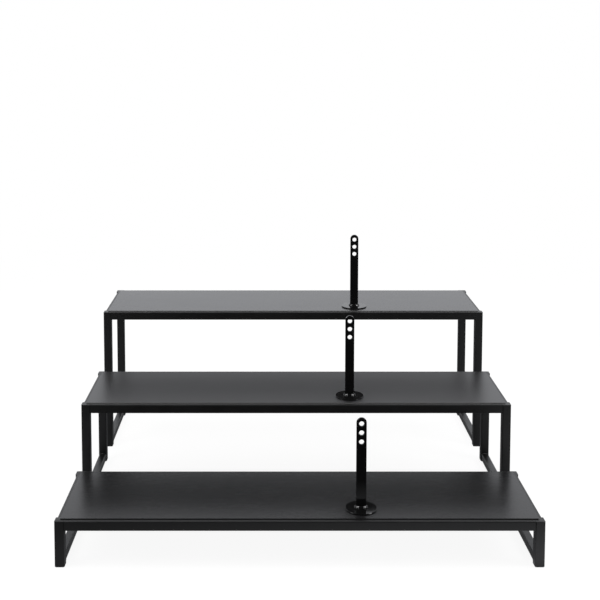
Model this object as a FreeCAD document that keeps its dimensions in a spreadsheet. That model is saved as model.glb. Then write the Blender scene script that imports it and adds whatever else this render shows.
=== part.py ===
# Three-tier bike display stand: three free-standing tables of square steel tube in rising
# heights, each with a loose deck board and a movable crank post on a round base.
import FreeCAD, Part
import math
import os
import re
import Sketcher

# Driving sizes in millimetres, each with the meaning of its name
SIZES = [
    ("stand_length", 1500, "length of each table over its legs"),
    ("tier_depth", 380, "depth of each table over its legs"),
    ("front_gap", 90, "free space between the front and the middle table"),
    ("rear_gap", 120, "free space between the middle and the rear table"),
    ("lower_height", 145, "floor to the frame top of the front table"),
    ("middle_height", 345, "floor to the frame top of the middle table"),
    ("upper_height", 545, "floor to the frame top of the rear table"),
    ("leg_size", 30, "square tube of the legs"),
    ("leg_wall", 1.5, "wall of the leg tube"),
    ("leg_corner", 3, "outer corner radius of the leg tube"),
    ("leg_cap", 3, "plate welded into the top of each leg"),
    ("rail_size", 30, "square tube of the front and rear rails"),
    ("rail_wall", 1.5, "wall of the rail tube"),
    ("rail_corner", 3, "outer corner radius of the rail tube"),
    ("brace_size", 25, "square tube of the runners and side rails"),
    ("brace_wall", 1.5, "wall of the brace tube"),
    ("brace_corner", 2.5, "outer corner radius of the brace tube"),
    ("bearer_width", 30, "width of the flat bars that carry the deck"),
    ("bearer_thickness", 5, "thickness of the flat bars that carry the deck"),
    ("bearer_spacing", 480, "distance between the two flat bars"),
    ("deck_inset", 15, "outside of the frame to the edge of the deck board"),
    ("deck_thickness", 3, "thickness of the deck board"),
    ("deck_corner", 4, "corner radius of the deck board in plan"),
    ("deck_edge", 0.5, "slope on the upper edge of the deck board"),
    ("glide_flange", 5, "part of the foot glide below the leg tube"),
    ("glide_edge", 1.5, "slope on the lower edge of the foot glide"),
    ("glide_stub", 16, "part of the foot glide inside the leg tube"),
    ("plug_clearance", 0.2, "gap between the glide's stub and the tube around it"),
    ("post_length", 288, "length of the crank post's flat bar"),
    ("post_width", 32, "width of the flat bar"),
    ("post_thickness", 6, "thickness of the flat bar"),
    ("post_edge", 0.8, "slope along the flat bar's edges"),
    ("hole_diameter", 16, "holes for the bolt that holds a crank arm"),
    ("hole_pitch", 29, "distance between neighbouring holes"),
    ("hole_drop", 19.5, "top of the post to its first hole"),
    ("hole_count", 3, "holes in each post"),
    ("base_diameter", 100, "round base plate of the post"),
    ("base_thickness", 3, "thickness of the base plate"),
    ("base_edge", 1, "slope on the upper edge of the base plate"),
    ("weld_leg", 4, "fillet weld around the foot of the bar"),
    ("weld_lip", 1, "upright rest of the weld where it meets the bar"),
    ("pad_thickness", 1, "rubber pad under the base plate"),
    ("pad_inset", 2, "edge of the base plate to the edge of the pad"),
    ("slide_clearance", 0.2, "gap between a moving pad and its deck"),
    ("lower_post_x", 194, "lower post to the right of the middle"),
    ("middle_post_x", 192, "middle post to the right of the middle"),
    ("upper_post_x", 247, "upper post to the right of the middle"),
    ("post_setback", 85, "front of each table to its post"),
]

# Each table with the formula for its place behind the front of the stand
TIERS = {
    "lower": "0",
    "middle": "tier_depth + front_gap",
    "upper": "2 * tier_depth + front_gap + rear_gap",
}
SIDES = {"left": -1, "right": 1}
ENDS = ("front", "rear")

SHEET_NAME = "Sizes"
SIZE_WORD = re.compile(r"\b(" + "|".join(name for name, value, meaning in SIZES) + r")\b")

# Sketches are drawn at this rough size and then pulled to their real one
START_HALF = 10.0
START_CORNER = 2.0
NEAR = 0.001

doc = FreeCAD.newDocument("bike_display_stand")
nodes = []


def vector(x, y, z=0.0):
    return FreeCAD.Vector(x, y, z)


def make_sheet():
    """Write each size as a named cell with its name and meaning beside it."""
    sheet = doc.addObject("Spreadsheet::Sheet", SHEET_NAME)
    for row, (name, value, meaning) in enumerate(SIZES, start=1):
        sheet.set("A%d" % row, name)
        sheet.set("B%d" % row, str(value))
        sheet.set("C%d" % row, meaning)
        sheet.setAlias("B%d" % row, name)
    doc.recompute()


def bind(thing, prop, formula):
    """Tie a property to a formula written in the names of the sizes."""
    thing.setExpression(prop, SIZE_WORD.sub(SHEET_NAME + r".\1", formula))


def place(thing, x, y, z="0"):
    bind(thing, "Placement.Base.x", x)
    bind(thing, "Placement.Base.y", y)
    bind(thing, "Placement.Base.z", z)


def new_body(label):
    body = doc.addObject("PartDesign::Body", label)
    body.Label = label
    return body


def new_sketch(body, plane, name, lift=None):
    """Start a sketch on one of the body's own planes, lifted off it where a formula says so."""
    planes = {feature.Role: feature for feature in body.Origin.OriginFeatures}
    sketch = body.newObject("Sketcher::SketchObject", body.Label + "_" + name)
    sketch.AttachmentSupport = [(planes[plane], "")]
    sketch.MapMode = "FlatFace"
    if lift:
        bind(sketch, "AttachmentOffset.Base.z", lift)
    return sketch


def add_rules(sketch, kind, *places):
    """Add the same geometric rule at each of the given places."""
    for where in places:
        sketch.addConstraint(Sketcher.Constraint(kind, *where))


def add_size(sketch, kind, where, formula, start):
    """Add a dimension to a sketch and tie it to a formula."""
    index = sketch.addConstraint(Sketcher.Constraint(kind, *where, start))
    bind(sketch, "Constraints[%d]" % index, formula)


def add_lines(sketch, points):
    """Draw straight lines from point to point and back to the first."""
    first = sketch.GeometryCount
    for start, end in zip(points, points[1:] + points[:1]):
        sketch.addGeometry(Part.LineSegment(vector(*start), vector(*end)), False)
    return range(first, first + len(points))


def add_arc(sketch, x, y, radius, start_degrees, end_degrees):
    whole = Part.Circle(vector(x, y), vector(0, 0, 1), radius)
    arc = Part.ArcOfCircle(whole, math.radians(start_degrees), math.radians(end_degrees))
    return sketch.addGeometry(arc, False)


def rectangle(sketch, width, height):
    """Draw a plain rectangle centred on the sketch's origin."""
    side = START_HALF
    lines = add_lines(sketch, [(-side, -side), (side, -side), (side, side), (-side, side)])
    bottom, right, top, left = lines
    for line, following in zip(lines, (right, top, left, bottom)):
        add_rules(sketch, "Coincident", (line, 2, following, 1))
    add_rules(sketch, "Horizontal", (bottom,), (top,))
    add_rules(sketch, "Vertical", (right,), (left,))
    add_rules(sketch, "Symmetric", (bottom, 1, top, 1, -1, 1))
    add_size(sketch, "DistanceX", (bottom, 1, bottom, 2), width, 2 * side)
    add_size(sketch, "DistanceY", (right, 1, right, 2), height, 2 * side)


def rounded_rectangle(sketch, width, height, corner):
    """Draw a rectangle with round corners, centred on the sketch's origin."""
    side = START_HALF
    centre = START_HALF - START_CORNER
    bottom = sketch.addGeometry(Part.LineSegment(vector(-centre, -side), vector(centre, -side)), False)
    lower_right = add_arc(sketch, centre, -centre, START_CORNER, -90, 0)
    right = sketch.addGeometry(Part.LineSegment(vector(side, -centre), vector(side, centre)), False)
    upper_right = add_arc(sketch, centre, centre, START_CORNER, 0, 90)
    top = sketch.addGeometry(Part.LineSegment(vector(centre, side), vector(-centre, side)), False)
    upper_left = add_arc(sketch, -centre, centre, START_CORNER, 90, 180)
    left = sketch.addGeometry(Part.LineSegment(vector(-side, centre), vector(-side, -centre)), False)
    lower_left = add_arc(sketch, -centre, -centre, START_CORNER, 180, 270)
    ring = [bottom, lower_right, right, upper_right, top, upper_left, left, lower_left]
    for piece, following in zip(ring, ring[1:] + ring[:1]):
        add_rules(sketch, "Tangent", (piece, 2, following, 1))
    add_rules(sketch, "Horizontal", (bottom,), (top,))
    add_rules(sketch, "Vertical", (right,), (left,))
    for arc in (upper_right, upper_left, lower_left):
        add_rules(sketch, "Equal", (lower_right, arc))
    add_rules(sketch, "Symmetric", (lower_left, 3, upper_right, 3, -1, 1))
    add_size(sketch, "Radius", (lower_right,), corner, START_CORNER)
    add_size(sketch, "DistanceX", (left, 1, right, 1), width, 2 * side)
    add_size(sketch, "DistanceY", (bottom, 1, top, 1), height, 2 * side)


def round_top_bar(sketch, width, length):
    """Draw an upright bar with a half-round top, standing on the sketch's origin."""
    half = START_HALF
    rise = 2 * START_HALF
    bottom = sketch.addGeometry(Part.LineSegment(vector(-half, 0), vector(half, 0)), False)
    right = sketch.addGeometry(Part.LineSegment(vector(half, 0), vector(half, rise)), False)
    top = add_arc(sketch, 0, rise, half, 0, 180)
    left = sketch.addGeometry(Part.LineSegment(vector(-half, rise), vector(-half, 0)), False)
    add_rules(sketch, "Coincident", (bottom, 2, right, 1), (left, 2, bottom, 1))
    add_rules(sketch, "Tangent", (right, 2, top, 1), (top, 2, left, 1))
    add_rules(sketch, "Vertical", (right,), (left,))
    add_rules(sketch, "Symmetric", (bottom, 1, bottom, 2, -1, 1))
    add_size(sketch, "DistanceX", (bottom, 1, bottom, 2), width, 2 * half)
    add_size(sketch, "DistanceY", (-1, 1, top, 3), "%s - %s / 2" % (length, width), rise)


def circle(sketch, diameter, rise=None):
    """Draw a circle centred on the sketch's origin, or above it where a formula says so."""
    start = Part.Circle(vector(0, START_HALF if rise else 0), vector(0, 0, 1), START_HALF)
    ring = sketch.addGeometry(start, False)
    add_size(sketch, "Diameter", (ring,), diameter, 2 * START_HALF)
    if rise:
        add_rules(sketch, "PointOnObject", (ring, 3, -2))
        add_size(sketch, "DistanceY", (-1, 1, ring, 3), rise, START_HALF)
    else:
        add_rules(sketch, "Coincident", (ring, 3, -1, 1))


def pad(body, sketch, length, both_ways=False):
    feature = body.newObject("PartDesign::Pad", sketch.Label + "_pad")
    feature.Profile = sketch
    feature.SideType = "Symmetric" if both_ways else "One side"
    bind(feature, "Length", length)
    return feature


def pocket(body, sketch, depth=None, upwards=False):
    """Cut a sketch to a depth below or above its plane, or right through both ways."""
    feature = body.newObject("PartDesign::Pocket", sketch.Label + "_cut")
    feature.Profile = sketch
    if depth:
        feature.Reversed = upwards
        bind(feature, "Length", depth)
    else:
        feature.Type = "ThroughAll"
        feature.SideType = "Symmetric"
    return feature


def edges_where(feature, wanted):
    """Name the edges of a feature whose bounding box passes a test."""
    doc.recompute()
    edges = enumerate(feature.Shape.Edges, start=1)
    return ["Edge%d" % number for number, edge in edges if wanted(edge.BoundBox)]


def level_edges(feature, lowest=False):
    """Name the edges around the highest or the lowest face of a feature."""
    doc.recompute()
    whole = feature.Shape.BoundBox
    level = whole.ZMin if lowest else whole.ZMax
    return edges_where(feature, lambda box: box.ZLength < NEAR and abs(box.ZMin - level) < NEAR)


def slope(body, feature, edges, size):
    """Take the named edges of a feature off at 45 degrees."""
    chamfer = body.newObject("PartDesign::Chamfer", feature.Label + "_slope")
    chamfer.Base = (feature, edges)
    bind(chamfer, "Size", size)
    return chamfer


def finish(body, tip):
    body.Tip = tip
    nodes.append(body)


def group(label, template, spots):
    """Set copies of one template at several spots as one node of separate solids."""
    links = []
    for number, (x, y) in enumerate(spots, start=1):
        link = doc.addObject("App::Link", "%s_%d" % (label, number))
        link.LinkedObject = template
        place(link, x, y)
        links.append(link)
    compound = doc.addObject("Part::Compound", label)
    compound.Label = label
    compound.Links = links
    nodes.append(compound)


def front_of(tier):
    """Formula for the front plane of a table, with the whole stand centred on the origin."""
    return "(%s - (%d * tier_depth + front_gap + rear_gap) / 2)" % (TIERS[tier], len(TIERS))


def height_of(tier):
    return tier + "_height"


def leg_x(side):
    return "%d * (stand_length - leg_size) / 2" % SIDES[side]


def tube_y(tier, end, size):
    """Formula for the middle of a tube that is flush with the table's front or back."""
    depth = "%s / 2" % size if end == "front" else "tier_depth - %s / 2" % size
    return front_of(tier) + " + " + depth


def tube(label, plane, size, wall, corner, length):
    """Square tube with round corners, centred on the given plane."""
    body = new_body(label)
    sketch = new_sketch(body, plane, "section")
    rounded_rectangle(sketch, size, size, corner)
    bore = "%s - 2 * %s" % (size, wall)
    rectangle(sketch, bore, bore)
    return body, pad(body, sketch, length, both_ways=True)


def leg(tier, side, end):
    """Upright tube, open below for its glide and closed on top by a plate welded in flush."""
    length = height_of(tier) + " - glide_flange"
    body = new_body("%s_%s_%s_leg" % (tier, side, end))
    outside = new_sketch(body, "XY_Plane", "outside")
    rounded_rectangle(outside, "leg_size", "leg_size", "leg_corner")
    pad(body, outside, length)
    inside = new_sketch(body, "XY_Plane", "inside")
    rectangle(inside, "leg_size - 2 * leg_wall", "leg_size - 2 * leg_wall")
    hollow = pocket(body, inside, length + " - leg_cap", upwards=True)
    place(body, leg_x(side), tube_y(tier, end, "leg_size"), "glide_flange")
    finish(body, hollow)


def long_rail(tier, end):
    """Tube between the left and right legs, flush with their outer faces and tops."""
    length = "stand_length - 2 * leg_size"
    label = "%s_%s_rail" % (tier, end)
    body, bar = tube(label, "YZ_Plane", "rail_size", "rail_wall", "rail_corner", length)
    place(body, "0", tube_y(tier, end, "rail_size"), height_of(tier) + " - rail_size / 2")
    finish(body, bar)


def brace(tier, name, x, z):
    """Thin tube from the front leg to the rear leg."""
    label = "%s_%s" % (tier, name)
    length = "tier_depth - 2 * leg_size"
    body, bar = tube(label, "XZ_Plane", "brace_size", "brace_wall", "brace_corner", length)
    place(body, x, front_of(tier) + " + tier_depth / 2", z)
    finish(body, bar)


def braces(tier):
    """Floor runners and side rails between the front and rear legs."""
    floor_level = "glide_flange + brace_size / 2"
    top_level = height_of(tier) + " - brace_size / 2"
    for side, sign in SIDES.items():
        flush_x = "%d * (stand_length / 2 - leg_size + brace_size / 2)" % sign
        brace(tier, side + "_runner", leg_x(side), floor_level)
        brace(tier, side + "_side_rail", flush_x, top_level)


def bearers(tier):
    """Flat bars under the deck, welded between the rails with their tops flush."""
    for side, sign in SIDES.items():
        body = new_body("%s_%s_bearer" % (tier, side))
        sketch = new_sketch(body, "XZ_Plane", "section")
        rectangle(sketch, "bearer_width", "bearer_thickness")
        bar = pad(body, sketch, "tier_depth - 2 * rail_size", both_ways=True)
        x = "%d * bearer_spacing / 2" % sign
        middle = front_of(tier) + " + tier_depth / 2"
        place(body, x, middle, height_of(tier) + " - bearer_thickness / 2")
        finish(body, bar)


def deck(tier):
    """Loose board lying on the rails, bearers and leg tops."""
    body = new_body(tier + "_deck")
    sketch = new_sketch(body, "XY_Plane", "outline")
    length = "stand_length - 2 * deck_inset"
    rounded_rectangle(sketch, length, "tier_depth - 2 * deck_inset", "deck_corner")
    board = pad(body, sketch, "deck_thickness")
    eased = slope(body, board, level_edges(board), "deck_edge")
    place(body, "0", front_of(tier) + " + tier_depth / 2", height_of(tier))
    finish(body, eased)


def glide_template():
    """Foot glide: a flange under the leg tube and a stub that plugs into it."""
    body = new_body("foot_glide")
    sketch = new_sketch(body, "XY_Plane", "flange")
    rectangle(sketch, "leg_size", "leg_size")
    flange = pad(body, sketch, "glide_flange")
    upright = edges_where(flange, lambda box: box.ZLength > NEAR)
    cornered = slope(body, flange, upright, "leg_corner")
    slope(body, cornered, level_edges(cornered, lowest=True), "glide_edge")
    sketch = new_sketch(body, "XY_Plane", "stub", "glide_flange")
    plug = "leg_size - 2 * leg_wall - 2 * plug_clearance"
    rectangle(sketch, plug, plug)
    body.Tip = pad(body, sketch, "glide_stub")
    return body


def foot_glides(tier, template):
    spots = [(leg_x(side), tube_y(tier, end, "leg_size")) for end in ENDS for side in SIDES]
    group(tier + "_foot_glides", template, spots)


def place_on_deck(body, tier, rise="0"):
    """Put a piece of the crank post at its spot on the deck, raised by a formula."""
    setback = front_of(tier) + " + post_setback"
    deck_top = height_of(tier) + " + deck_thickness + slide_clearance"
    place(body, tier + "_post_x", setback, deck_top + " + " + rise)


def base_pad(tier):
    """Rubber pad that keeps the base plate off the deck."""
    body = new_body(tier + "_base_pad")
    sketch = new_sketch(body, "XY_Plane", "outline")
    circle(sketch, "base_diameter - 2 * pad_inset")
    disc = pad(body, sketch, "pad_thickness")
    place_on_deck(body, tier)
    finish(body, disc)


def post_base(tier):
    """Round base plate with the fillet weld that holds the bar."""
    body = new_body(tier + "_post_base")
    sketch = new_sketch(body, "XY_Plane", "outline")
    circle(sketch, "base_diameter")
    plate = pad(body, sketch, "base_thickness")
    slope(body, plate, level_edges(plate), "base_edge")
    sketch = new_sketch(body, "XY_Plane", "weld", "base_thickness")
    rectangle(sketch, "post_width + 2 * weld_leg", "post_thickness + 2 * weld_leg")
    weld = pad(body, sketch, "weld_leg")
    slope(body, weld, level_edges(weld), "weld_leg - weld_lip")
    sketch = new_sketch(body, "XY_Plane", "seat", "base_thickness + weld_leg")
    rectangle(sketch, "post_width", "post_thickness")
    seat = pocket(body, sketch, "weld_leg")
    place_on_deck(body, tier, "pad_thickness")
    finish(body, seat)


def crank_post(tier):
    """Flat bar with a round top and a row of holes for a crank arm's bolt."""
    body = new_body(tier + "_post")
    sketch = new_sketch(body, "XZ_Plane", "outline")
    round_top_bar(sketch, "post_width", "post_length")
    bar = pad(body, sketch, "post_thickness", both_ways=True)
    outline = edges_where(bar, lambda box: box.YLength < NEAR and box.ZLength > NEAR)
    slope(body, bar, outline, "post_edge")
    sketch = new_sketch(body, "XZ_Plane", "hole")
    circle(sketch, "hole_diameter", "post_length - hole_drop")
    hole = pocket(body, sketch)
    row = body.newObject("PartDesign::LinearPattern", body.Label + "_hole_row")
    row.Originals = [hole]
    row.Direction = (sketch, ["V_Axis"])
    row.Reversed = True
    bind(row, "Length", "hole_pitch * (hole_count - 1)")
    bind(row, "Occurrences", "hole_count")
    place_on_deck(body, tier, "pad_thickness + base_thickness")
    finish(body, row)


def build():
    make_sheet()
    glide = glide_template()
    for tier in TIERS:
        for side in SIDES:
            for end in ENDS:
                leg(tier, side, end)
        for end in ENDS:
            long_rail(tier, end)
        braces(tier)
        bearers(tier)
        deck(tier)
        foot_glides(tier, glide)
        base_pad(tier)
        post_base(tier)
        crank_post(tier)
    doc.recompute()


def check():
    """Stop before writing anything if an object failed or a shape is not a valid solid."""
    for thing in doc.Objects:
        if "Invalid" in thing.State or "Error" in thing.State:
            raise RuntimeError("failed object: " + thing.Label)
    for node in nodes:
        shape = node.Shape
        if shape.isNull() or not shape.isValid() or not shape.Solids:
            raise RuntimeError("bad shape: " + node.Label)


def write():
    os.makedirs("parts", exist_ok=True)
    for node in nodes:
        node.Shape.exportStep("parts/" + node.Label + ".step")


build()
check()
write()
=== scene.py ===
"""Looks of a three-tier bike display stand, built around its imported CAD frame."""

import math

import bmesh
import bpy
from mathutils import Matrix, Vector


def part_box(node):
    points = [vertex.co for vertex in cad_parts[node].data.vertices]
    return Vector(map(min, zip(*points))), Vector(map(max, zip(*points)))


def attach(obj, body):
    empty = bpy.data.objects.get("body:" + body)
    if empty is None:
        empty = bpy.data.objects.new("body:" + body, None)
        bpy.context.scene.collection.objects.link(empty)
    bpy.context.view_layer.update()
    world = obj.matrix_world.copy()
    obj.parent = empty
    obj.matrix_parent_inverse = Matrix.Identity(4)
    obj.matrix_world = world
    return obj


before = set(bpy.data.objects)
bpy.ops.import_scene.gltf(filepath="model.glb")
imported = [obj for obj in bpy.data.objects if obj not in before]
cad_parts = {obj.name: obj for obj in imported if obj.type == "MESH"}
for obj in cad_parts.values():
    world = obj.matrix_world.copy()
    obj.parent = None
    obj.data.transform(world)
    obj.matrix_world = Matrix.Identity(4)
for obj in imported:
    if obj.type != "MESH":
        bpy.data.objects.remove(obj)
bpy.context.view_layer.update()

TIERS = ("lower", "middle", "upper")
MM = 0.001
UP = Vector((0, 0, 1))
DOWN = -UP
LEFT = Vector((-1, 0, 0))
RIGHT = -LEFT
FRONT = Vector((0, -1, 0))
BACK = -FRONT
AXES = (0, 1, 2)
SIDES = {"under": DOWN, "over": UP, "front": FRONT, "back": BACK, "left": LEFT, "right": RIGHT}


# Node helpers

MIX_SHARE, MIX_FIRST, MIX_SECOND = 0, 6, 7
MIX_RESULT = 2


def add(tree, kind, inputs=None, **settings):
    """Adds a node; an input is a plain value or the output socket that feeds it."""
    node = tree.nodes.new(kind)
    for key, value in settings.items():
        setattr(node, key, value)
    for key, value in (inputs or {}).items():
        if isinstance(value, bpy.types.NodeSocket):
            tree.links.new(value, node.inputs[key])
        else:
            node.inputs[key].default_value = value
    return node


def noise(tree, where, scale, detail=2.0, roughness=0.5):
    node = add(tree, "ShaderNodeTexNoise", {
        "Vector": where, "Scale": scale, "Detail": detail, "Roughness": roughness,
    })
    return node.outputs["Fac"]


def remap(tree, value, low, high, to_low, to_high):
    node = add(tree, "ShaderNodeMapRange", {
        "Value": value, "From Min": low, "From Max": high, "To Min": to_low, "To Max": to_high,
    })
    return node.outputs["Result"]


def share_of(tree, value, low, high):
    """0 at low, 1 at high, clamped."""
    return remap(tree, value, low, high, 0.0, 1.0)


def times(tree, a, b):
    return add(tree, "ShaderNodeMath", {0: a, 1: b}, operation="MULTIPLY").outputs[0]


def plus(tree, a, b):
    return add(tree, "ShaderNodeMath", {0: a, 1: b}, operation="ADD").outputs[0]


def blend_colours(tree, share, first, second):
    inputs = {MIX_SHARE: share, MIX_FIRST: first, MIX_SECOND: second}
    return add(tree, "ShaderNodeMix", inputs, data_type="RGBA").outputs[MIX_RESULT]


def grey(level, cool=1.0):
    return (level, level, level * cool, 1.0)


EDGE_SAMPLES = 6
EDGE_FLAT = 0.98
EDGE_SHARP = 0.72


def edge_mask(tree, reach):
    """1 on worn outer edges, 0 on flat faces."""
    rounded = add(tree, "ShaderNodeBevel", {"Radius": reach}, samples=EDGE_SAMPLES)
    face = add(tree, "ShaderNodeNewGeometry")
    facing = add(tree, "ShaderNodeVectorMath", {
        0: rounded.outputs["Normal"], 1: face.outputs["Normal"],
    }, operation="DOT_PRODUCT")
    return share_of(tree, facing.outputs["Value"], EDGE_FLAT, EDGE_SHARP)


def new_material(name):
    material = bpy.data.materials.new(name)
    material.use_nodes = True
    tree = material.node_tree
    tree.nodes.clear()
    where = add(tree, "ShaderNodeTexCoord").outputs["Object"]
    shader = add(tree, "ShaderNodeBsdfPrincipled")
    output = add(tree, "ShaderNodeOutputMaterial")
    tree.links.new(shader.outputs["BSDF"], output.inputs["Surface"])
    return material, tree, where, shader


def set_bump(tree, shader, height, depth):
    bump = add(tree, "ShaderNodeBump", {"Height": height, "Distance": depth, "Strength": 1.0})
    tree.links.new(bump.outputs["Normal"], shader.inputs["Normal"])


# Finishes

MIDDLE = (0.3, 0.7)
COAT_COOL = 1.03
PATCH_RANGE = (0.25, 0.75)
RUB_RANGE = (0.42, 0.68)
SPECK_GLOSS = 0.03
FINE_PEEL = 3.1
FINE_PEEL_SHARE = 0.35


def coat(name, dark, light, worn, rough, specular, peel, peel_depth, wear_reach, refraction=1.5):
    """Black powder coat: orange peel, patchy gloss and rubbed edges."""
    material, tree, where, shader = new_material(name)
    patches = noise(tree, where, scale=22.0, detail=4.0)
    specks = noise(tree, where, scale=420.0)
    rubbed = share_of(tree, noise(tree, where, scale=70.0, detail=5.0), *RUB_RANGE)
    edges = times(tree, edge_mask(tree, wear_reach), rubbed)
    body = blend_colours(tree, share_of(tree, patches, *MIDDLE), grey(dark), grey(light, COAT_COOL))
    tree.links.new(blend_colours(tree, edges, body, grey(worn)), shader.inputs["Base Color"])
    gloss = plus(
        tree,
        remap(tree, patches, *PATCH_RANGE, *rough),
        remap(tree, specks, *MIDDLE, -SPECK_GLOSS, SPECK_GLOSS),
    )
    tree.links.new(gloss, shader.inputs["Roughness"])
    shader.inputs["Specular IOR Level"].default_value = specular
    shader.inputs["IOR"].default_value = refraction
    fine = noise(tree, where, scale=peel * FINE_PEEL, detail=1.0)
    height = plus(tree, noise(tree, where, scale=peel), times(tree, fine, FINE_PEEL_SHARE))
    set_bump(tree, shader, height, peel_depth)
    return material


DECK_DARK = grey(0.0050, 1.06)
DECK_LIGHT = grey(0.0062, 1.06)
TONE_RANGE = (0.35, 0.65)
TOP_RANGE = (0.3, 0.8)
PAINTED_EDGE_RANGE = (0.75, 1.0)
WIPE_STRETCH = (2.0, 5.0, 5.0)
CLOUD_SHARE = 0.6
GRAIN_SHARE = 0.4
GRAIN_GLOSS = 0.010
GRAIN_DEPTH = 0.004 * MM
CLOUD_HEIGHT = 0.5


def deck_material(name, rough, refraction, painted_edge_tone):
    """Satin black board: fine grain and faint wipe marks along its length. The tone of its edges and
    underside is painted light, a painted reflection where that tone is pale.
    """
    material, tree, where, shader = new_material(name)
    stretched = add(tree, "ShaderNodeMapping", {"Vector": where, "Scale": WIPE_STRETCH})
    wipes = noise(tree, stretched.outputs["Vector"], scale=3.0, detail=5.0, roughness=0.6)
    clouds = noise(tree, where, scale=5.5, detail=4.0)
    grain = noise(tree, where, scale=1500.0)
    tone = plus(tree, times(tree, clouds, CLOUD_SHARE), times(tree, grain, GRAIN_SHARE))
    body = blend_colours(tree, share_of(tree, tone, *TONE_RANGE), DECK_DARK, DECK_LIGHT)
    face = add(tree, "ShaderNodeNewGeometry")
    facing = add(tree, "ShaderNodeSeparateXYZ", {"Vector": face.outputs["Normal"]})
    # Painted light on the edges and underside: every face that does not face up takes the painted edge
    # tone.
    painted_edge_mask = times(
        tree,
        remap(tree, facing.outputs["Z"], *TOP_RANGE, 1.0, 0.0),
        remap(tree, noise(tree, where, scale=55.0, detail=5.0), *MIDDLE, *PAINTED_EDGE_RANGE),
    )
    tree.links.new(blend_colours(tree, painted_edge_mask, body, grey(painted_edge_tone)), shader.inputs["Base Color"])
    gloss = plus(
        tree,
        remap(tree, wipes, *MIDDLE, *rough),
        remap(tree, grain, *MIDDLE, -GRAIN_GLOSS, GRAIN_GLOSS),
    )
    tree.links.new(gloss, shader.inputs["Roughness"])
    shader.inputs["IOR"].default_value = refraction
    set_bump(tree, shader, plus(tree, grain, times(tree, clouds, CLOUD_HEIGHT)), GRAIN_DEPTH)
    return material


DUST_RANGE = (0.35, 0.75)
RUBBER_ROUGH = (0.68, 0.86)
RUBBER_DEPTH = 0.12 * MM


def rubber_material():
    material, tree, where, shader = new_material("pad_black_rubber")
    crumbs = noise(tree, where, scale=700.0, detail=4.0, roughness=0.65)
    dust = noise(tree, where, scale=60.0, detail=4.0)
    shade = blend_colours(tree, share_of(tree, dust, *DUST_RANGE), grey(0.008), grey(0.02))
    tree.links.new(shade, shader.inputs["Base Color"])
    tree.links.new(remap(tree, crumbs, *MIDDLE, *RUBBER_ROUGH), shader.inputs["Roughness"])
    set_bump(tree, shader, crumbs, RUBBER_DEPTH)
    return material


SCUFF_RANGE = (0.45, 0.75)
GLIDE_ROUGH = (0.42, 0.6)
GLIDE_DEPTH = 0.05 * MM


def glide_material():
    material, tree, where, shader = new_material("glide_black_plastic")
    moulding = noise(tree, where, scale=900.0, detail=3.0)
    scuffs = noise(tree, where, scale=130.0, detail=5.0, roughness=0.6)
    shade = blend_colours(tree, share_of(tree, scuffs, *SCUFF_RANGE), grey(0.009), grey(0.028))
    tree.links.new(shade, shader.inputs["Base Color"])
    tree.links.new(remap(tree, scuffs, *MIDDLE, *GLIDE_ROUGH), shader.inputs["Roughness"])
    set_bump(tree, shader, moulding, GLIDE_DEPTH)
    return material


FRAME_COAT = coat(
    "frame_black_powder_coat", dark=0.0040, light=0.0052, worn=0.03, rough=(0.34, 0.40),
    specular=0.6, peel=650.0, peel_depth=0.020 * MM, wear_reach=0.9 * MM,
)
POST_COAT = coat(
    "post_gloss_black_coat", dark=0.0020, light=0.0030, worn=0.01, rough=(0.06, 0.10),
    specular=0.5, peel=420.0, peel_depth=0.006 * MM, wear_reach=0.7 * MM,
)
STOP_COAT = coat(
    "foot_weld_gloss_coat", dark=0.0020, light=0.0030, worn=0.01, rough=(0.06, 0.10),
    specular=1.0, peel=420.0, peel_depth=0.004 * MM, wear_reach=0.7 * MM, refraction=1.8,
)
# The last number for each tier is a painted edge tone. 0.12 paints a reflection on the edges and
# undersides of the middle and upper decks; the lower deck's stays near black.
DECKS = {
    "lower": deck_material("lower_deck_satin_black", rough=(0.260, 0.275), refraction=1.55, painted_edge_tone=0.008),
    "middle": deck_material("middle_deck_satin_black", rough=(0.345, 0.360), refraction=1.9, painted_edge_tone=0.12),
    "upper": deck_material("upper_deck_satin_black", rough=(0.245, 0.260), refraction=1.58, painted_edge_tone=0.12),
}
FINISHES = {
    "frame_coat": FRAME_COAT,
    "post_coat": POST_COAT,
    "pad_rubber": rubber_material(),
    "glide": glide_material(),
}


def dress_cad_nodes():
    """Gives each CAD node the finish of its material slot; each tier's deck has its own."""
    for name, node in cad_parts.items():
        slot_name = node.data.materials[0].name.split(".")[0]
        tier = name.split("_")[0]
        node.data.materials[0] = DECKS[tier] if slot_name == "deck_board" else FINISHES[slot_name]


# Mesh helpers

def new_piece(name, mesh_maker, body, finish):
    """Makes a piece from a bmesh routine and lets it ride on a body."""
    bm = bmesh.new()
    mesh_maker(bm)
    bmesh.ops.recalc_face_normals(bm, faces=bm.faces)
    mesh = bpy.data.meshes.new(name)
    bm.to_mesh(mesh)
    bm.free()
    for face in mesh.polygons:
        face.use_smooth = True
    mesh.materials.append(finish)
    piece = bpy.data.objects.new(name, mesh)
    bpy.context.scene.collection.objects.link(piece)
    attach(piece, body)


def loft(bm, rings, closed):
    """Skins a row of rings; a closed row joins its last ring to its first, an open one is capped."""
    rows = [[bm.verts.new(point) for point in ring] for ring in rings]
    count = len(rows)
    for index in range(count if closed else count - 1):
        row, following = rows[index], rows[(index + 1) % count]
        for k in range(len(row)):
            j = (k + 1) % len(row)
            bm.faces.new((row[k], row[j], following[j], following[k]))
    if not closed:
        bm.faces.new(rows[0])
        bm.faces.new(rows[-1])


# Welds

BEAD_STEPS = 5
BEAD_FULLNESS = 1.25
BEAD_ROOT = 0.25 * MM


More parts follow.
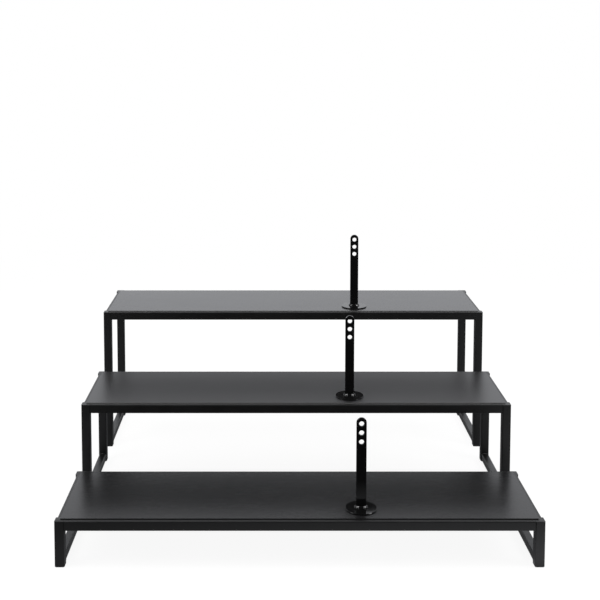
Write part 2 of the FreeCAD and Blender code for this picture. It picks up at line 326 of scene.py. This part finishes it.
def bead_ring(corner, along_a, along_b, leg):
    """One section through a fillet weld that fills the corner between two faces."""
    ring = [corner - along_a * BEAD_ROOT - along_b * BEAD_ROOT]
    ring.append(corner + along_a * leg - along_b * BEAD_ROOT)
    for step in range(BEAD_STEPS + 1):
        angle = 0.5 * math.pi * step / BEAD_STEPS
        ring.append(
            corner
            + along_a * leg * math.cos(angle) ** BEAD_FULLNESS
            + along_b * leg * math.sin(angle) ** BEAD_FULLNESS
        )
    ring.append(corner - along_a * BEAD_ROOT + along_b * leg)
    return ring


def ripple(length, pitch, share):
    """Swell of the bead at this length: overlapping scales like a row of coins."""
    return 1.0 - share + share * abs(math.sin(math.pi * length / pitch))


WELD_LEG = 2.6 * MM
WELD_PITCH = 2.3 * MM
WELD_EDGE = 1.5 * MM
WELD_RIPPLE = 0.16
WELD_END = 0.45
WELD_TAPER = 6.0
STEPS_PER_RIPPLE = 4
LEAST_STEPS = 6


def straight_bead(bm, start, end, along_a, along_b):
    """A rippled fillet weld with tapered ends."""
    length = (end - start).length
    steps = max(LEAST_STEPS, STEPS_PER_RIPPLE * round(length / WELD_PITCH))
    rings = []
    for step in range(steps + 1):
        share = step / steps
        taper = min(1.0, WELD_END + WELD_TAPER * min(share, 1.0 - share))
        swell = taper * ripple(share * length, WELD_PITCH, WELD_RIPPLE)
        rings.append(bead_ring(start.lerp(end, share), along_a, along_b, WELD_LEG * swell))
    loft(bm, rings, closed=False)


def axis_of(direction):
    """Index of the axis that a unit direction runs along."""
    return max(AXES, key=lambda axis: abs(direction[axis]))


def weld_end(bm, low, high, inward, sides):
    """Beads on the named sides of a bar's end; inward points from that end along the bar."""
    length_axis = axis_of(inward)
    end = low if inward[length_axis] > 0 else high
    for side in sides:
        away = SIDES[side]
        away_axis = axis_of(away)
        run_axis = sum(AXES) - length_axis - away_axis
        start = end.copy()
        start[away_axis] = (high if away[away_axis] > 0 else low)[away_axis]
        finish = start.copy()
        start[run_axis] = low[run_axis] + WELD_EDGE
        finish[run_axis] = high[run_axis] - WELD_EDGE
        straight_bead(bm, start, finish, inward, away)


RAIL_WELDS = (
    ("front_rail", ("under", "back")),
    ("rear_rail", ("under", "front")),
)
BRACE_WELDS = (
    ("left_runner", ("under", "over", "left", "right")),
    ("right_runner", ("under", "over", "left", "right")),
    ("left_side_rail", ("under", "left", "right")),
    ("right_side_rail", ("under", "left", "right")),
    ("left_bearer", ("under", "left", "right")),
    ("right_bearer", ("under", "left", "right")),
)


def frame_welds(tier):
    """Weld beads of one table at the ends of its rails, runners and bearers."""
    def make(bm):
        for welds, inward in ((RAIL_WELDS, RIGHT), (BRACE_WELDS, BACK)):
            for name, sides in welds:
                low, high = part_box(f"{tier}_{name}")
                weld_end(bm, low, high, inward, sides)
                weld_end(bm, low, high, -inward, sides)

    new_piece(f"{tier}_frame_welds", make, f"{tier}_table", FRAME_COAT)


FOOT_LEG = 5.0 * MM
FOOT_PITCH = 2.6 * MM
FOOT_STEP = 0.65 * MM
FOOT_RIPPLE = 0.07
BEND_STEPS = 6
BEND_SWELL = 0.22
BEND_LENGTH = 4.7 * MM


def foot_stations(low, high):
    """Steps round a bar's foot, with the way out, the swell and the length gone, and the whole length."""
    corners = (
        (Vector((low.x, low.y, low.z)), FRONT),
        (Vector((high.x, low.y, low.z)), RIGHT),
        (Vector((high.x, high.y, low.z)), BACK),
        (Vector((low.x, high.y, low.z)), LEFT),
    )
    stations = []
    gone = 0.0
    for index, (corner, outward) in enumerate(corners):
        following, next_outward = corners[(index + 1) % len(corners)]
        run = (following - corner).length
        steps = round(run / FOOT_STEP)
        for step in range(steps):
            share = step / steps
            stations.append((corner.lerp(following, share), outward, 1.0, gone + run * share))
        gone += run
        for step in range(BEND_STEPS):
            share = step / BEND_STEPS
            turned = outward.lerp(next_outward, share).normalized()
            swell = 1.0 + BEND_SWELL * math.sin(math.pi * share)
            stations.append((following, turned, swell, gone + BEND_LENGTH * share))
        gone += BEND_LENGTH
    return stations, gone


def foot_weld(tier):
    """The weld all round the foot of a post's bar, laid over the plain fillet of the base plate."""
    stations, length = foot_stations(*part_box(f"{tier}_post"))
    pitch = length / round(length / FOOT_PITCH)

    def make(bm):
        rings = [
            bead_ring(point, outward, UP, FOOT_LEG * swell * ripple(gone, pitch, FOOT_RIPPLE))
            for point, outward, swell, gone in stations
        ]
        loft(bm, rings, closed=True)

    new_piece(f"{tier}_foot_weld", make, f"{tier}_crank_post", POST_COAT)


STOP_INSET = 4.6 * MM
STOP_REACH = 4.6 * MM
STOP_ROOT = 0.85
STOP_SWELL = 0.60
STOP_STEPS = 18


def weld_stop(bm, corner, along, outward):
    """Smooth lump near the end of a long side, where the weld was started or stopped."""
    rings = []
    for step in range(STOP_STEPS + 1):
        share = 2.0 * step / STOP_STEPS - 1.0
        leg = FOOT_LEG * (STOP_ROOT + STOP_SWELL * (1.0 - share ** 2))
        rings.append(bead_ring(corner + along * (STOP_INSET + STOP_REACH * share), outward, UP, leg))
    loft(bm, rings, closed=False)


def foot_weld_stops(tier):
    """Four lumps on the foot weld, two on the front of the bar and two on its back."""
    low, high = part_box(f"{tier}_post")

    def make(bm):
        for y, outward in ((low.y, FRONT), (high.y, BACK)):
            weld_stop(bm, Vector((low.x, y, low.z)), RIGHT, outward)
            weld_stop(bm, Vector((high.x, y, low.z)), LEFT, outward)

    new_piece(f"{tier}_foot_weld_stops", make, f"{tier}_crank_post", STOP_COAT)


# Edges of CAD nodes

LEG_ROUNDING = 1.3 * MM
BASE_ROUNDING = 0.2 * MM
ROUNDING_SEGMENTS = 3
JOIN_GAP = 0.004 * MM
FLAT_ANGLE = math.radians(0.5)
SHARP_ANGLE = math.radians(38.0)


def round_edges(name, width):
    """Rounds the sharp edges of a CAD node with modifiers; its mesh stays as it is."""
    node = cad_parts[name]
    joined = node.modifiers.new("join_faces", "WELD")
    joined.merge_threshold = JOIN_GAP
    flat = node.modifiers.new("flat_faces", "DECIMATE")
    flat.decimate_type = "DISSOLVE"
    flat.angle_limit = FLAT_ANGLE
    rounding = node.modifiers.new("round_edges", "BEVEL")
    rounding.width = width
    rounding.segments = ROUNDING_SEGMENTS
    rounding.limit_method = "ANGLE"
    rounding.angle_limit = SHARP_ANGLE
    rounding.harden_normals = True


def round_tier(tier):
    for side in ("left", "right"):
        for end in ("front", "rear"):
            round_edges(f"{tier}_{side}_{end}_leg", LEG_ROUNDING)
    round_edges(f"{tier}_post_base", BASE_ROUNDING)


# Stage, light and camera

WHITE = (1.0, 1.0, 1.0, 1.0)
COOL_WHITE = (0.975, 0.99, 1.03, 1.0)
FLOOR_RADIUS = 14.0
FLOOR_SEGMENTS = 128
FLOOR_PALE = grey(0.9)
FLOOR_MATT = grey(0.15)
FLOOR_NEAR = 1.6
FLOOR_FAR = 4.5
FLOOR_WHITENESS = 0.92
# Levels of the painted light and painted shadow that the floor shows in reflections.
LEFT_GLOW = 0.21
RIGHT_GLOW = 0.64
PAINTED_SHADOW_GLOW = 0.10
BESIDE_GLOW = 0.40
GLOW_WIDTH = 0.8
GLOW_START = -1.15
GLOW_FULL = -0.80
GLOW_FAINT = 0.05
GLOW_STRONG = 1.25
UNDER_START = -0.72
UNDER_FULL = -0.62
BESIDE_START = 0.65
BESIDE_FULL = 0.9


def floor_glow(tree, where):
    """Painted light that reflections see: the floor glows brighter in front and more so to the right,
    with a painted shadow under the stand that grows lighter beside it.
    """
    split = add(tree, "ShaderNodeSeparateXYZ", {"Vector": where})
    x, y = split.outputs["X"], split.outputs["Y"]
    # Painted light: a pool of glow in front of the stand, stronger to the right.
    painted_light_across = remap(tree, x, -GLOW_WIDTH, GLOW_WIDTH, LEFT_GLOW, RIGHT_GLOW)
    painted_light_ahead = times(tree, painted_light_across, remap(tree, y, GLOW_START, GLOW_FULL, GLOW_FAINT, GLOW_STRONG))
    sideways = add(tree, "ShaderNodeMath", {0: x}, operation="ABSOLUTE").outputs[0]
    # Painted shadow: the glow is dim under the stand and lighter beside it.
    shade = remap(tree, sideways, BESIDE_START, BESIDE_FULL, PAINTED_SHADOW_GLOW, BESIDE_GLOW)
    return remap(tree, y, UNDER_START, UNDER_FULL, painted_light_ahead, shade)


def floor_material():
    """Pale and nearly white for the camera, matt grey for bounced light, and in reflections a glow of
    painted light and painted shadow.
    """
    material = bpy.data.materials.new("pale_floor")
    material.use_nodes = True
    tree = material.node_tree
    tree.nodes.clear()
    where = add(tree, "ShaderNodeTexCoord").outputs["Object"]
    reach = add(tree, "ShaderNodeVectorMath", {0: where}, operation="LENGTH").outputs["Value"]
    matt = add(tree, "ShaderNodeBsdfDiffuse", {"Color": FLOOR_MATT})
    pale = add(tree, "ShaderNodeBsdfDiffuse", {"Color": FLOOR_PALE})
    white = add(tree, "ShaderNodeEmission", {"Color": WHITE, "Strength": 1.0})
    share = remap(tree, reach, FLOOR_NEAR, FLOOR_FAR, FLOOR_WHITENESS, 1.0)
    seen = add(tree, "ShaderNodeMixShader", {0: share, 1: pale.outputs[0], 2: white.outputs[0]})
    # For glossy rays the floor glows with painted light and painted shadow.
    painted_floor_glow = add(tree, "ShaderNodeEmission", {"Color": COOL_WHITE, "Strength": floor_glow(tree, where)})
    path = add(tree, "ShaderNodeLightPath")
    bounce = add(tree, "ShaderNodeMixShader", {
        0: path.outputs["Is Glossy Ray"], 1: matt.outputs[0], 2: painted_floor_glow.outputs[0],
    })
    final = add(tree, "ShaderNodeMixShader", {
        0: path.outputs["Is Camera Ray"], 1: bounce.outputs[0], 2: seen.outputs[0],
    })
    output = add(tree, "ShaderNodeOutputMaterial")
    tree.links.new(final.outputs[0], output.inputs["Surface"])
    return material


def make_floor():
    bm = bmesh.new()
    bmesh.ops.create_circle(bm, cap_ends=True, segments=FLOOR_SEGMENTS, radius=FLOOR_RADIUS)
    mesh = bpy.data.meshes.new("floor")
    bm.to_mesh(mesh)
    bm.free()
    mesh.materials.append(floor_material())
    floor = bpy.data.objects.new("floor", mesh)
    bpy.context.scene.collection.objects.link(floor)


ROOM_LEVEL = 0.8
FRONT_GLOW = 0.06
BACK_GLOW = 1.0
WALL_RANGE = (-0.35, 0.45)
WALL_TOP = (0.36, 0.60)
CEILING_SHARE = 0.32


def make_world():
    """White for the camera; in reflections a white wall behind and a dim room in front."""
    world = bpy.data.worlds.new("studio")
    bpy.context.scene.world = world
    world.use_nodes = True
    tree = world.node_tree
    tree.nodes.clear()
    path = add(tree, "ShaderNodeLightPath")
    where = add(tree, "ShaderNodeTexCoord").outputs["Generated"]
    split = add(tree, "ShaderNodeSeparateXYZ", {"Vector": where})
    depth = share_of(tree, split.outputs["Y"], *WALL_RANGE)
    height = remap(tree, split.outputs["Z"], *WALL_TOP, 1.0, CEILING_SHARE)
    glow = remap(tree, times(tree, depth, height), 0.0, 1.0, FRONT_GLOW, BACK_GLOW)
    white = add(tree, "ShaderNodeBackground", {"Color": WHITE, "Strength": 1.0})
    wall = add(tree, "ShaderNodeBackground", {"Color": COOL_WHITE, "Strength": glow})
    room = add(tree, "ShaderNodeBackground", {"Color": WHITE, "Strength": ROOM_LEVEL})
    shiny = add(tree, "ShaderNodeMixShader", {
        0: path.outputs["Is Glossy Ray"], 1: room.outputs[0], 2: wall.outputs[0],
    })
    final = add(tree, "ShaderNodeMixShader", {
        0: path.outputs["Is Camera Ray"], 1: shiny.outputs[0], 2: white.outputs[0],
    })
    output = add(tree, "ShaderNodeOutputWorld")
    tree.links.new(final.outputs[0], output.inputs["Surface"])


TOP_PLACE = (0.0, 0.2, 3.6)
TOP_TARGET = (0.0, 0.0, 0.3)
TOP_SIZE = (4.0, 3.0)
RIGHT_PLACE = (2.9, -1.2, 2.4)
LEFT_PLACE = (-2.6, -1.3, 2.4)
SIDE_TARGET = (0.2, -0.4, 0.2)
SIDE_SIZE = (1.2, 1.2)


def area_light(name, place, target, size, power):
    light = bpy.data.lights.new(name, "AREA")
    light.shape = "RECTANGLE"
    light.size, light.size_y = size
    light.energy = power
    lamp = bpy.data.objects.new(name, light)
    bpy.context.scene.collection.objects.link(lamp)
    lamp.location = place
    lamp.rotation_euler = (Vector(target) - Vector(place)).to_track_quat("-Z", "Y").to_euler()
    lamp.visible_camera = False
    return lamp


def make_lights():
    """A large softbox overhead, which reflections leave out, and a small one on each side in front."""
    overhead = area_light("top_softbox", TOP_PLACE, TOP_TARGET, TOP_SIZE, power=160.0)
    overhead.visible_glossy = False
    area_light("front_right_softbox", RIGHT_PLACE, SIDE_TARGET, SIDE_SIZE, power=50.0)
    area_light("front_left_softbox", LEFT_PLACE, SIDE_TARGET, SIDE_SIZE, power=40.0)


CAMERA_PLACE = (-0.0884, -3.7281, 1.5781)
CAMERA_PITCH = 4.515
CAMERA_LENS = 62.11
CAMERA_SENSOR = 36.0
CAMERA_SHIFT = (0.0486, -0.28)


def make_camera():
    data = bpy.data.cameras.new("camera")
    data.sensor_width = CAMERA_SENSOR
    data.lens = CAMERA_LENS
    data.shift_x, data.shift_y = CAMERA_SHIFT
    camera = bpy.data.objects.new("camera", data)
    bpy.context.scene.collection.objects.link(camera)
    camera.location = CAMERA_PLACE
    camera.rotation_euler = (math.radians(90.0 - CAMERA_PITCH), 0.0, 0.0)
    bpy.context.scene.camera = camera


dress_cad_nodes()
for tier in TIERS:
    frame_welds(tier)
    foot_weld(tier)
    foot_weld_stops(tier)
    round_tier(tier)
make_floor()
make_world()
make_lights()
make_camera()
bpy.context.scene.view_settings.view_transform = "Standard"
